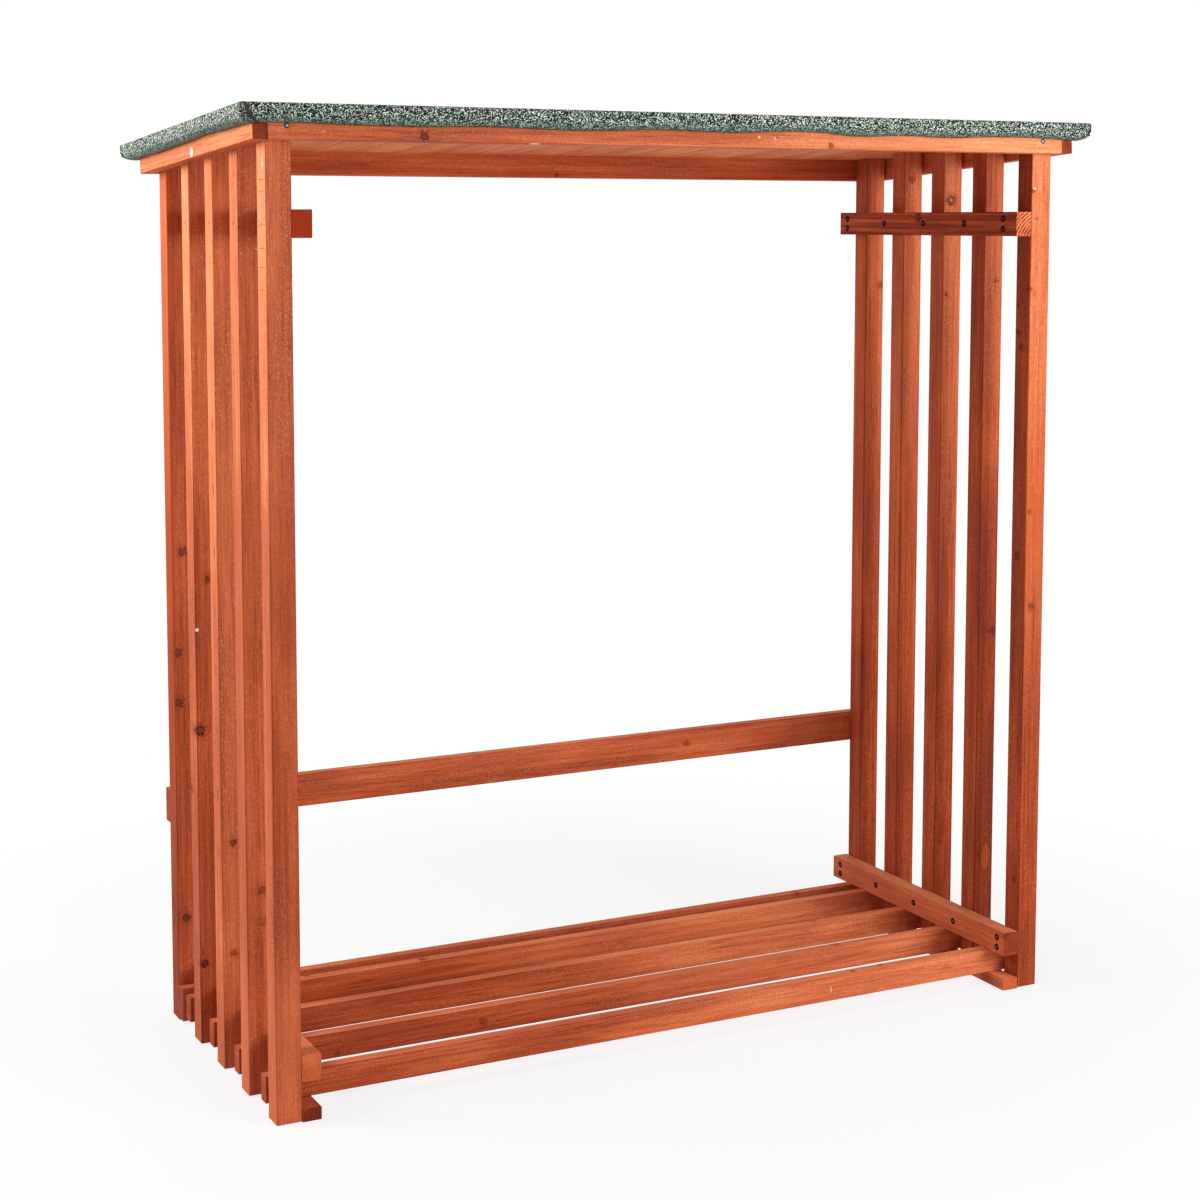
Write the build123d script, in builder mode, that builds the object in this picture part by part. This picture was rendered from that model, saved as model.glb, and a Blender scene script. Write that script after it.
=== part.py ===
from build123d import *
import math
import os

# Log store: an open timber frame with slatted sides, a slatted floor and a sloping felt roof.
# Millimetres. X runs from left to right, Y from front to back, Z up.
# The origin lies on the ground under the middle of the roof.

# Side walls
clear_width = 1500
upright_width = 45
upright_depth = 44
upright_lift = 2
front_gap = 104
upright_gap = 97
uprights_per_side = 5

# Rails along the side walls
rail_width = 35
rail_height = 47
rail_tail = 5
foot_runner_height = 23
upper_rail_level = 1496

# Floor
floor_rail_thickness = 26
floor_rail_height = 47
floor_rail_overhang = 2
floor_rail_setbacks = (6, 6, 12, 17)

# Boards across the back
board_thickness = 24
board_height = 64
brace_board_level = 377

# Roof, a flat frame that slopes down to the back
roof_angle = 3.8
roof_front_level = 1697.5
fascia_thickness = 24
fascia_height = 44
fascia_side_gap = 5
deck_thickness = 10
deck_front_overhang = 23
deck_side_overhang = 25
deck_back_overhang = 31
felt_thickness = 3
felt_drop = 18
felt_tuck = 13

# Eased edges
timber_round = 2
felt_fold_round = 2.5

# The roof's own plane is the underside of its deck. Lengths along it, from the front posts' faces
tilt = math.radians(roof_angle)
wall_depth = (
    uprights_per_side * upright_depth + front_gap + (uprights_per_side - 2) * upright_gap
)
frame_front = -fascia_thickness
back_fascia_front = wall_depth / math.cos(tilt) + fascia_height * math.tan(tilt)
frame_back = back_fascia_front + fascia_thickness
deck_front = frame_front - deck_front_overhang
deck_back = frame_back + deck_back_overhang
felt_top = deck_thickness + felt_thickness

# The felt reaches furthest at its lower front fold and its upper back fold
front_reach = (deck_front - felt_thickness) * math.cos(tilt) + (
    felt_top - felt_drop
) * math.sin(tilt)
back_reach = (
    (deck_back + felt_thickness - felt_fold_round) * math.cos(tilt)
    + (felt_top - felt_fold_round) * math.sin(tilt)
    + felt_fold_round
)
wall_front = -(front_reach + back_reach) / 2
wall_back = wall_front + wall_depth

# Other places worked out from the sizes above
outer_width = clear_width + 2 * upright_width
half_clear = clear_width / 2
floor_rail_level = foot_runner_height
lower_rail_level = floor_rail_level + floor_rail_height
rear_floor_board_front = wall_back - upright_depth - board_thickness
fascia_inner_width = outer_width + 2 * fascia_side_gap
frame_width = fascia_inner_width + 2 * fascia_thickness
deck_width = frame_width + 2 * deck_side_overhang

roof_plane = Plane(
    origin=(0, wall_front, roof_front_level),
    x_dir=(1, 0, 0),
    z_dir=(0, math.sin(tilt), math.cos(tilt)),
)
roof_slope_axis = Axis((0, 0, 0), roof_plane.y_dir)
sides = (("left", -1), ("right", 1))

os.makedirs("parts", exist_ok=True)


def upright_front(index):
    """Y of the front face of one upright, counted from the front."""
    if index == 0:
        return wall_front
    first = wall_front + upright_depth + front_gap
    return first + (index - 1) * (upright_depth + upright_gap)


def roof_level(y):
    """Height of the underside of the roof deck above one place in the depth."""
    return roof_front_level - (y - wall_front) * math.tan(tilt)


def save(piece, name):
    """Labels a finished piece and writes its file."""
    piece.part.label = name
    export_step(piece.part, "parts/" + name + ".step")


# Uprights, with their tops cut to the slope of the roof
for side, sign in sides:
    for index in range(uprights_per_side):
        front = upright_front(index)
        back = front + upright_depth
        with BuildPart() as upright:
            with BuildSketch(Plane.YZ.offset(sign * half_clear)):
                with BuildLine():
                    Polyline(
                        (front, upright_lift),
                        (back, upright_lift),
                        (back, roof_level(back)),
                        (front, roof_level(front)),
                        close=True,
                    )
                make_face()
            extrude(amount=sign * upright_width)
            fillet(upright.edges().filter_by(Axis.Z), radius=timber_round)
        save(upright, f"{side}_upright_{index + 1}")

# Rails along the inner faces of the side walls. The foot runners stop at the rear floor board
rail_kinds = (
    ("foot_runner", 0, foot_runner_height, rear_floor_board_front),
    ("lower_side_rail", lower_rail_level, rail_height, wall_back + rail_tail),
    ("upper_side_rail", upper_rail_level, rail_height, wall_back + rail_tail),
)
for side, sign in sides:
    for kind, level, height, back in rail_kinds:
        middle = (sign * (half_clear - rail_width / 2), (wall_front + back) / 2)
        with BuildPart() as rail:
            with BuildSketch(Plane.XY.offset(level)):
                with Locations(middle):
                    Rectangle(rail_width, back - wall_front)
            extrude(amount=height)
            fillet(rail.edges().filter_by(Axis.Y), radius=timber_round)
        save(rail, f"{side}_{kind}")

# Floor rails, which lie on the foot runners and reach out through the gaps between the uprights
for index, setback in enumerate(floor_rail_setbacks):
    front = upright_front(index) + upright_depth + setback
    with BuildPart() as floor_rail:
        with BuildSketch(Plane.XY.offset(floor_rail_level)):
            with Locations((0, front + floor_rail_thickness / 2)):
                Rectangle(outer_width + 2 * floor_rail_overhang, floor_rail_thickness)
        extrude(amount=floor_rail_height)
        fillet(floor_rail.edges().filter_by(Axis.X), radius=timber_round)
    save(floor_rail, f"floor_rail_{index + 1}")

# Boards across the back: one ends the floor in front of the rear uprights, one braces them
back_boards = (
    ("rear_floor_board", rear_floor_board_front, lower_rail_level - board_height),
    ("back_brace_board", wall_back, brace_board_level),
)
for name, front, level in back_boards:
    with BuildPart() as board:
        with BuildSketch(Plane.XY.offset(level)):
            with Locations((0, front + board_thickness / 2)):
                Rectangle(outer_width, board_thickness)
        extrude(amount=board_height)
        fillet(board.edges().filter_by(Axis.X), radius=timber_round)
    save(board, name)

# Front and back fascias, which hang under the deck between the side fascias
for name, front in (("front_fascia", frame_front), ("back_fascia", back_fascia_front)):
    with BuildPart() as fascia:
        with BuildSketch(roof_plane):
            with Locations((0, front + fascia_thickness / 2)):
                Rectangle(fascia_inner_width, fascia_thickness)
        extrude(amount=-fascia_height)
        lower_edges = fascia.edges().filter_by(Axis.X).group_by(Axis.Z)[:2]
        fillet(lower_edges[0] + lower_edges[1], radius=timber_round)
    save(fascia, name)

# Side fascias, which cover the ends of the front and back ones
for side, sign in sides:
    middle = (
        sign * (frame_width - fascia_thickness) / 2,
        (frame_front + frame_back) / 2,
    )
    with BuildPart() as fascia:
        with BuildSketch(roof_plane):
            with Locations(middle):
                Rectangle(fascia_thickness, frame_back - frame_front)
        extrude(amount=-fascia_height)
        lower_edges = fascia.edges().filter_by(roof_slope_axis).group_by(Axis.Z)[0]
        fillet(lower_edges, radius=timber_round)
    save(fascia, f"{side}_fascia")

# Roof deck
with BuildPart() as roof_deck:
    with BuildSketch(roof_plane):
        with Locations((0, (deck_front + deck_back) / 2)):
            Rectangle(deck_width, deck_back - deck_front)
    extrude(amount=deck_thickness)
save(roof_deck, "roof_deck")


def covered_form(growth, top, drop, tuck):
    """The deck's outline, grown outwards, and below it a stretch drawn in to the fascias."""
    low = top - drop
    deck_middle = (0, (deck_front + deck_back) / 2)
    frame_middle = (0, (frame_front + frame_back) / 2)
    with BuildPart() as form:
        with BuildSketch(roof_plane.offset(low)) as rim:
            with Locations(deck_middle):
                Rectangle(deck_width + 2 * growth, deck_back - deck_front + 2 * growth)
        extrude(rim.sketch, amount=drop)
        with BuildSketch(roof_plane.offset(low - tuck)) as mouth:
            with Locations(frame_middle):
                Rectangle(frame_width + 2 * growth, frame_back - frame_front + 2 * growth)
        loft([rim.sketch, mouth.sketch])
    return form.part


# Roofing felt: laid over the deck, folded down over its edges and tucked in to the fascias
felt_outside = covered_form(felt_thickness, felt_top, felt_drop, felt_tuck)
felt_inside = covered_form(0, deck_thickness, felt_drop - felt_thickness, felt_tuck)
with BuildPart() as roof_felt:
    add(felt_outside)
    fillet(roof_felt.faces().sort_by(Axis.Z)[-1].edges(), radius=felt_fold_round)
    add(felt_inside, mode=Mode.SUBTRACT)
save(roof_felt, "roof_felt")
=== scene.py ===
import math
import random

import bmesh
import bpy
from mathutils import Matrix, Vector, noise


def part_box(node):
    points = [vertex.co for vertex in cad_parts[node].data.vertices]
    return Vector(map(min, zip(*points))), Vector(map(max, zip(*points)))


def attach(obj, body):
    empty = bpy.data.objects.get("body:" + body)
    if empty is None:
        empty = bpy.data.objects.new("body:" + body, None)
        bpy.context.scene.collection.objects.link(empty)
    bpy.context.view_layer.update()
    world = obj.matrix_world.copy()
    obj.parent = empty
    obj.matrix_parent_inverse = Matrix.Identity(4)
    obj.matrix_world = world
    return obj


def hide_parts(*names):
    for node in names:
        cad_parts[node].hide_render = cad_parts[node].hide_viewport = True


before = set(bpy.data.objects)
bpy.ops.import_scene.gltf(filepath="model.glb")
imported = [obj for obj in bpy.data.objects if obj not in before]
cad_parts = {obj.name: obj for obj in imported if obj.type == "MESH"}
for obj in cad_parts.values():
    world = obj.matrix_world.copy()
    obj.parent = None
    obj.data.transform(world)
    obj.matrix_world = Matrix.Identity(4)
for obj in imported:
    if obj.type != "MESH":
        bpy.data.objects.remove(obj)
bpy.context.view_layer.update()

# Looks of the log store, in metres, around the solids of the frame.
# Wood, felt and fixings get their finish here, and felt, deck boards and fixings their shape.

scene = bpy.context.scene
scene.view_settings.view_transform = "Standard"

# Camera, at the photograph's place. The angles are degrees, the shift is a share of the width
camera_place = (-1.9769, -3.8455, 1.5236)
camera_yaw = -26.900
camera_pitch = -5.329
camera_roll = 0.059
camera_lens = 67.70
camera_shift = -0.14

# Sizes that the looks share with the solids
roof_tilt = math.radians(3.8)
felt_thickness = 0.003
uprights_per_side = 5
sides = (("left", -1), ("right", 1))


def look_from_camera_place():
    """The scene's camera. It looks along +Y, turned by its yaw, pitch and roll."""
    data = bpy.data.cameras.new("camera")
    data.lens = camera_lens
    data.shift_y = camera_shift
    camera = bpy.data.objects.new("camera", data)
    camera.matrix_world = (
        Matrix.Translation(camera_place)
        @ Matrix.Rotation(math.radians(camera_yaw), 4, "Z")
        @ Matrix.Rotation(math.radians(90 + camera_pitch), 4, "X")
        @ Matrix.Rotation(math.radians(camera_roll), 4, "Z")
    )
    scene.collection.objects.link(camera)
    scene.camera = camera


def area_lamp(name, place, target, size, power):
    """A square soft white lamp that points from its place to its target."""
    data = bpy.data.lights.new(name, "AREA")
    data.size = size
    data.energy = power
    lamp = bpy.data.objects.new(name, data)
    aim = (Vector(target) - Vector(place)).to_track_quat("-Z", "Y")
    lamp.matrix_world = Matrix.Translation(place) @ aim.to_matrix().to_4x4()
    scene.collection.objects.link(lamp)


class Tree:
    """Short calls that add nodes to one material, world or node group."""

    def __init__(self, tree):
        self.tree = tree
        tree.nodes.clear()

    def node(self, kind, inputs=None, **settings):
        """A node with its settings and inputs."""
        made = self.tree.nodes.new("ShaderNode" + kind)
        for key, value in settings.items():
            setattr(made, key, value)
        for key, value in (inputs or {}).items():
            self.set(made.inputs[key], value)
        return made

    def set(self, socket, value):
        """Links an output to a socket, or gives it a constant."""
        if isinstance(value, bpy.types.NodeSocket):
            self.tree.links.new(value, socket)
        elif isinstance(value, tuple) and socket.type == "RGBA" and len(value) == 3:
            socket.default_value = (*value, 1)
        else:
            socket.default_value = value

    def math(self, operation, *values):
        """What one operation makes of numbers."""
        return self.node("Math", dict(enumerate(values)), operation=operation).outputs[0]

    def vector(self, operation, *values):
        """What one operation makes of vectors: a vector or a number."""
        made = self.node("VectorMath", dict(enumerate(values)), operation=operation)
        return made.outputs["Value" if operation in ("LENGTH", "DOT_PRODUCT") else "Vector"]

    def split(self, vector):
        """The three parts of a vector."""
        return self.node("SeparateXYZ", {0: vector}).outputs

    def place(self):
        """Where a point of the surface lies, in metres."""
        return self.node("TexCoord").outputs["Object"]

    def mix(self, factor, low, high):
        """A colour that goes from low to high with the factor."""
        made = self.node("Mix", data_type="RGBA", clamp_factor=True)
        for index, value in ((0, factor), (6, low), (7, high)):
            self.set(made.inputs[index], value)
        return made.outputs[2]

    def ramp(self, factor, low, high, start, end):
        """The factor from start to end becomes a number from low to high, with soft ends."""
        inputs = {"Value": factor, "From Min": start, "From Max": end, "To Min": low, "To Max": high}
        return self.node("MapRange", inputs, interpolation_type="SMOOTHSTEP").outputs[0]

    def colours(self, factor, stops, interpolation="LINEAR"):
        """The colour that the factor meets among stops, which are (place, colour)."""
        made = self.node("ValToRGB", {0: factor})
        made.color_ramp.interpolation = interpolation
        elements = made.color_ramp.elements
        for index, (place, colour) in enumerate(stops):
            stop = elements[index] if index < 2 else elements.new(place)
            stop.position = place
            stop.color = (*colour, 1)
        return made.outputs[0]

    def group(self, group, inputs):
        """A node group with its inputs set. What comes back are its outputs."""
        return self.node("Group", inputs, node_tree=group).outputs

    def noise(self, vector, scale, detail, roughness=0.5):
        """Smooth noise from 0 to 1."""
        inputs = {"Vector": vector, "Scale": scale, "Detail": detail, "Roughness": roughness}
        return self.node("TexNoise", inputs).outputs["Fac"]

    def stretch(self, vector, across, along):
        """The vector with its first two parts scaled by across, its third by along."""
        return self.vector("MULTIPLY", vector, (across, across, along))

    def grain_noise(self, vector, across, along, detail, roughness):
        """Noise with its own scale across and along the grain."""
        return self.noise(self.stretch(vector, across, along), 1.0, detail, roughness)

    def seen(self):
        """1 for what the camera sees, straight or in a reflection, and 0 for all other light."""
        rays = self.node("LightPath").outputs
        return self.math("MAXIMUM", rays["Is Camera Ray"], rays["Is Glossy Ray"])

    def principled(self, colour, roughness, specular, relief=None, metallic=0.0):
        """Gives the material its surface. Relief holds the inputs of a bump."""
        inputs = {
            "Base Color": colour,
            "Roughness": roughness,
            "Specular IOR Level": specular,
            "Metallic": metallic,
        }
        if relief:
            inputs["Normal"] = self.node("Bump", relief).outputs[0]
        surface = self.node("BsdfPrincipled", inputs).outputs[0]
        self.node("OutputMaterial", {"Surface": surface})


def new_material(name):
    """A material and its empty tree."""
    material = bpy.data.materials.new(name)
    material.use_nodes = True
    return material, Tree(material.node_tree)


def srgb(red, green, blue):
    """A colour given as it shows on a screen, from 0 to 255, as the linear colour of a shader."""
    parts = (value / 255 for value in (red, green, blue))
    return tuple(v / 12.92 if v <= 0.04045 else ((v + 0.055) / 1.055) ** 2.4 for v in parts)


def new_group(name, inputs, outputs):
    """A node group, its tree, and its inputs and outputs, whose names are given by kind."""
    group = bpy.data.node_groups.new(name, "ShaderNodeTree")
    for way, sockets in (("INPUT", inputs), ("OUTPUT", outputs)):
        for kind, labels in sockets.items():
            for label in labels:
                group.interface.new_socket(label, in_out=way, socket_type="NodeSocket" + kind)
    tree = Tree(group)
    start = group.nodes.new("NodeGroupInput")
    end = group.nodes.new("NodeGroupOutput")
    return group, tree, start.outputs, end.inputs


# Stain colours from thinnest to deepest coat, as they show in plain light, each with its depth
stain_coats = (
    (0.00, srgb(250, 186, 140)),
    (0.22, srgb(238, 150, 101)),
    (0.48, srgb(203, 102, 62)),
    (0.72, srgb(163, 67, 34)),
    (1.00, srgb(104, 35, 14)),
)
knot_colour = srgb(62, 24, 16)
# Painted sheen: the pale colour of flecks where raised fuzz catches the light
sheen_fleck_colour = srgb(236, 162, 128)

# Knots. A ramp is (low, high, start, end), and theirs go by the distance in radii
knot_rim_inside = (0.25, 1.0, 0.4, 0.9)
knot_rim_outside = (1.0, 0.0, 0.9, 1.5)
knot_eye = (1.0, 0.0, 0.1, 0.5)
knot_halo = (1.0, 0.0, 0.7, 3.0)
knot_wobble = 1.7
knot_wobble_least = 0.15
knot_wobble_scale = 220.0
knot_depth_share = 0.4
bend_length_share = 0.45
bend_fall = -0.35

# Noises of the wood: scale across and along the grain, detail and roughness
fibre_noise = (520.0, 14.0, 1.0, 0.6)
streak_noise = (120.0, 2.2, 0.0, 0.5)
fuzz_noise = (430.0, 260.0, 1.0, 0.8)
blotch_noise = (16.0, 3.0, 1.0, 0.6)
even_spread = (-1.0, 1.0, 0.3, 0.7)
streak_spread = (-1.0, 1.0, 0.28, 0.72)

# Growth rings: how their pith line wanders, how knots bend them, and where their late wood lies
pith_wander_scale = (9.0, 1.6)
pith_wander = 0.016
knot_bend = 0.006
late_wood_rise = (0.0, 1.0, 0.25, 0.9)
late_wood_drop = (0.0, 1.0, 0.93, 1.0)
ring_streaks = 0.3
ring_middle = 0.35
ring_weight_on_sides = 0.08
ring_weight_more_on_ends = 0.26

# How much of the rest of the grain goes into the depth of the stain
fibre_weight = 0.04
streak_weight = 0.04
fuzz_weight_by_blotch = (0.10, 0.20, 0.54, 0.74)
blotch_weight = 0.09
halo_weight = 0.14

# Dark pores, and pale flecks of painted sheen where raised fuzz and blotches meet, most where the
# tone is pale
pores_by_fibre = (0.0, 0.3, 0.62, 0.70)
sheen_by_fuzz = (0.0, 0.65, 0.50, 0.74)
sheen_by_blotch = (0.35, 1.0, 0.45, 0.62)
sheen_by_tone = (1.0, 0.2, 0.55, 0.78)

# Gloss and relief of the wood
wood_roughness = 0.60
wood_roughness_by_fuzz = 0.08
wood_specular = 0.08
fibre_relief = 0.8
wood_bump = 0.5
wood_bump_height = 0.0006


def knot_group():
    """A knot that runs through the timber: how dark it is, its halo and how it bends the grain."""
    group, tree, given, made = new_group(
        "knot",
        {"Vector": ("Vector", "Place", "Across"), "Float": ("Radius", "Strength", "Wobble")},
        {"Float": ("Dark", "Halo", "Bend")},
    )
    offset = tree.vector("SUBTRACT", given["Vector"], given["Place"])
    flat = tree.vector("MULTIPLY", offset, given["Across"])
    uneven = tree.math("MULTIPLY_ADD", given["Wobble"], knot_wobble, knot_wobble_least)
    distance = tree.math("MULTIPLY", tree.vector("LENGTH", flat), uneven)
    share = tree.math("DIVIDE", distance, given["Radius"])
    rim = tree.math("MULTIPLY", tree.ramp(share, *knot_rim_inside), tree.ramp(share, *knot_rim_outside))
    darkest = tree.math("MAXIMUM", rim, tree.ramp(share, *knot_eye))
    tree.set(made["Dark"], tree.math("MULTIPLY", darkest, given["Strength"]))
    tree.set(made["Halo"], tree.ramp(share, *knot_halo))
    squeezed = tree.vector("LENGTH", tree.stretch(flat, 1.0, bend_length_share))
    reach = tree.math("DIVIDE", squeezed, given["Radius"])
    fall = tree.math("MULTIPLY", tree.math("MULTIPLY", reach, reach), bend_fall)
    tree.set(made["Bend"], tree.math("EXPONENT", fall))
    return group


def timber_group():
    """Stained softwood: rings round a pith, fibres, blotches and pale flecks of painted sheen. Tone is
    the depth of the stain, with painted light and shade in it.
    """
    group, tree, given, made = new_group(
        "stained_timber",
        {
            "Vector": ("Vector", "Pith", "Slope"),
            "Float": ("Ring", "Seed", "Tone", "Dark", "Halo", "Bend", "End", "Figure"),
        },
        {"Color": ("Color",), "Float": ("Roughness", "Height")},
    )
    seeded = tree.vector("ADD", given["Vector"], tree.node("CombineXYZ", {0: given["Seed"]}).outputs[0])
    along = tree.split(given["Vector"])[2]

    # Growth rings: distance from a pith line that leans and wanders
    lean = tree.node("VectorMath", {0: given["Slope"], "Scale": along}, operation="SCALE").outputs[0]
    inputs = {"Vector": tree.stretch(seeded, *pith_wander_scale), "Scale": 1.0, "Detail": 0.0}
    wander = tree.node("TexNoise", inputs).outputs["Color"]
    centred = tree.vector("SUBTRACT", wander, (0.5, 0.5, 0.5))
    drift = tree.stretch(centred, pith_wander, 0.0)
    from_pith = tree.vector("SUBTRACT", given["Vector"], given["Pith"])
    placed = tree.vector("ADD", tree.vector("ADD", from_pith, lean), drift)
    radius = tree.vector("LENGTH", tree.stretch(placed, 1.0, 0.0))
    bent = tree.math("MULTIPLY_ADD", given["Bend"], knot_bend, radius)
    turn = tree.math("FRACT", tree.math("DIVIDE", bent, given["Ring"]))
    late = tree.math("SUBTRACT", tree.ramp(turn, *late_wood_rise), tree.ramp(turn, *late_wood_drop))

    # Fibres, streaks, sawn fuzz and blotches of stain
    fibre = tree.grain_noise(seeded, *fibre_noise)
    fuzz = tree.grain_noise(seeded, *fuzz_noise)
    blotch = tree.grain_noise(seeded, *blotch_noise)
    fibres = tree.ramp(fibre, *even_spread)
    fuzzes = tree.ramp(fuzz, *even_spread)
    blotches = tree.ramp(blotch, *even_spread)
    streaks = tree.ramp(tree.grain_noise(seeded, *streak_noise), *streak_spread)
    ring_strength = tree.math("MULTIPLY_ADD", streaks, ring_streaks, 1 - ring_streaks)
    ringed = tree.math("SUBTRACT", tree.math("MULTIPLY", late, ring_strength), ring_middle)

    # Depth of the stain, with the painted light and shade of the tone, from 0 at its thinnest to 1
    side = tree.math("SUBTRACT", 1.0, given["End"])
    weight = tree.math("MULTIPLY_ADD", given["End"], ring_weight_more_on_ends, ring_weight_on_sides)
    weight = tree.math("MULTIPLY", weight, given["Figure"])
    depth = tree.math("MULTIPLY_ADD", ringed, weight, given["Tone"])
    parts = (
        (fibres, fibre_weight),
        (tree.math("MULTIPLY", streaks, given["Figure"]), streak_weight),
        (fuzzes, tree.ramp(blotch, *fuzz_weight_by_blotch)),
    )
    for part, weight in parts:
        depth = tree.math("MULTIPLY_ADD", part, tree.math("MULTIPLY", weight, side), depth)
    depth = tree.math("MULTIPLY_ADD", blotches, blotch_weight, depth)
    depth = tree.math("MULTIPLY_ADD", given["Halo"], halo_weight, depth)
    coat = tree.colours(depth, stain_coats)

    # Flecks of painted sheen, and pores
    raised = tree.math("MULTIPLY", tree.ramp(fuzz, *sheen_by_fuzz), side)
    gathered = tree.math("MULTIPLY", raised, tree.ramp(blotch, *sheen_by_blotch))
    painted_sheen = tree.math("MULTIPLY", gathered, tree.ramp(given["Tone"], *sheen_by_tone))
    # The stain's coat with flecks of painted sheen over it
    stain_and_sheen = tree.mix(painted_sheen, coat, sheen_fleck_colour)
    pores = tree.math("MULTIPLY", tree.ramp(fibre, *pores_by_fibre), side)
    dark = tree.math("MAXIMUM", pores, given["Dark"])
    tree.set(made["Color"], tree.mix(dark, stain_and_sheen, knot_colour))

    rough = tree.math("MULTIPLY_ADD", fuzzes, wood_roughness_by_fuzz, wood_roughness)
    tree.set(made["Roughness"], rough)
    tree.set(made["Height"], tree.math("MULTIPLY_ADD", fibre, fibre_relief, fuzz))
    return group


knot_nodes = knot_group()
timber_nodes = timber_group()

# The order of axes that turns a place into across, across and along the grain
axes = "XYZ"
grain_orders = {"X": (1, 2, 0), "Y": (0, 2, 1), "Z": (0, 1, 2)}

# End grain and edges by the normal, and what they do to the stain
end_by_normal = (0.0, 1.0, 0.8, 0.95)
edge_by_normal = (1.0, 0.0, 0.80, 0.97)
end_stain = 0.06
edge_stain = -0.12
mark_edge = (0.6, 1.1)

# What is drawn by chance for each piece of wood, and for each of its drawn knots
pith_reaches = (0.018, 0.055)
pith_slopes = (-0.012, 0.012)
ring_spread = (0.8, 1.3)
seeds = (0, 50)
drawn_knot_radii = (0.003, 0.006)
drawn_knot_strengths = (0.3, 0.7)


def by_face(tree, normal, tones):
    """The tone of a face by its normal, from tones for left, right, front, back, up and down. These
    hold painted light and shade as well as the stain's depth.
    """
    plus = tree.vector("MAXIMUM", normal, (0.0, 0.0, 0.0))
    turned = tree.vector("MULTIPLY", normal, (-1.0, -1.0, -1.0))
    minus = tree.vector("MAXIMUM", turned, (0.0, 0.0, 0.0))
    first = tree.vector("DOT_PRODUCT", plus, (tones[1], tones[3], tones[4]))
    second = tree.vector("DOT_PRODUCT", minus, (tones[0], tones[2], tones[4]))
    return tree.math("ADD", first, second)


def knotted(tree, ordered, order, centre, knots):
    """How dark the knots make a point, how much of their halo it gets and how they bend its grain."""
    dark, halo, bend = 0.0, 0.0, 0.0
    wobble = tree.noise(ordered, knot_wobble_scale, 1.0) if knots else 0.0
    for place, face, radius, strength in knots:
        offset = Vector(place) - centre
        across = [1.0, 1.0, 1.0]
        across[order.index(axes.index(face))] = knot_depth_share
        inputs = {
            "Vector": ordered,
            "Place": tuple(offset[i] for i in order),
            "Across": tuple(across),
            "Radius": radius,
            "Strength": strength,
            "Wobble": wobble,
        }
        knot = tree.group(knot_nodes, inputs)
        dark = tree.math("MAXIMUM", dark, knot["Dark"])
        halo = tree.math("MAXIMUM", halo, knot["Halo"])
        bend = tree.math("ADD", bend, knot["Bend"])
    return {"Dark": dark, "Halo": halo, "Bend": bend}


def stained_wood(
    name, box, grain, far, near=None, fade=(0.2, 0.8), knots=(), marks=(), tilt=0.0,
    ring=0.0026, figure=1.0, pith=None,
):
    """Stained wood. Far and near hold tones by face at the two ends of the piece, near being its
    left, front or lower end, and fade the shares of its length between which one turns into the
    other. The tones are the stain's depth with painted light and shade in them. Knots are (place,
    face axis, radius, strength) and marks, such as cracks, chips and painted light and shade, are
    (place, half sizes, colour, strength). Figure is how strongly the grain shows, and pith is where
    the rings' middle lies across the grain, from the piece's own middle."""
    chance = random.Random(name)
    low, high = box
    centre = (low + high) / 2
    order = grain_orders[grain]
    axis = axes.index(grain)
    material, tree = new_material(name)
    where = tree.place()
    local = tree.vector("SUBTRACT", where, tuple(centre))
    if tilt:
        inputs = {"Vector": local, "Angle": tilt}
        local = tree.node("VectorRotate", inputs, rotation_type="X_AXIS").outputs[0]
    parts = tree.split(local)
    ordered = tree.node("CombineXYZ", {i: parts[order[i]] for i in range(3)}).outputs[0]
    knot_looks = knotted(tree, ordered, order, centre, knots)

    # The stain is thin on worn edges and deep where end grain drinks it, and the tones by face are
    # painted light and shade
    normal = tree.node("NewGeometry").outputs["True Normal"]
    sizes = tree.split(tree.vector("ABSOLUTE", normal))
    end = tree.ramp(sizes[axis], *end_by_normal)
    flatness = tree.math("MAXIMUM", tree.math("MAXIMUM", sizes[0], sizes[1]), sizes[2])
    edge = tree.ramp(flatness, *edge_by_normal)
    tone = by_face(tree, normal, far)
    if near:
        first, last = (low[axis] + share * (high[axis] - low[axis]) for share in fade)
        share = tree.ramp(tree.split(where)[axis], 0.0, 1.0, first, last)
        near_tone = by_face(tree, normal, near)
        tone = tree.node("Mix", {0: share, 2: near_tone, 3: tone}).outputs[0]
    tone = tree.math("MULTIPLY_ADD", end, end_stain, tone)
    tone = tree.math("MULTIPLY_ADD", edge, edge_stain, tone)

    angle = chance.uniform(0, 2 * math.pi)
    reach = chance.uniform(*pith_reaches)
    pith = pith or (reach * math.cos(angle), reach * math.sin(angle))
    inputs = {
        "Vector": ordered,
        "Pith": (*pith, 0.0),
        "Slope": (chance.uniform(*pith_slopes), chance.uniform(*pith_slopes), 0.0),
        "Ring": ring * chance.uniform(*ring_spread),
        "Seed": chance.uniform(*seeds),
        "Tone": tone,
        "End": end,
        "Figure": figure,
        **knot_looks,
    }
    timber = tree.group(timber_nodes, inputs)
    colour = timber["Color"]
    for place, half_sizes, mark_colour, strength in marks:
        offset = tree.vector("DIVIDE", tree.vector("SUBTRACT", where, place), half_sizes)
        cover = tree.ramp(tree.vector("LENGTH", offset), strength, 0.0, *mark_edge)
        colour = tree.mix(cover, colour, mark_colour)
    relief = {"Strength": wood_bump, "Distance": wood_bump_height, "Height": timber["Height"]}
    tree.principled(colour, timber["Roughness"], wood_specular, relief)
    return material


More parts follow.
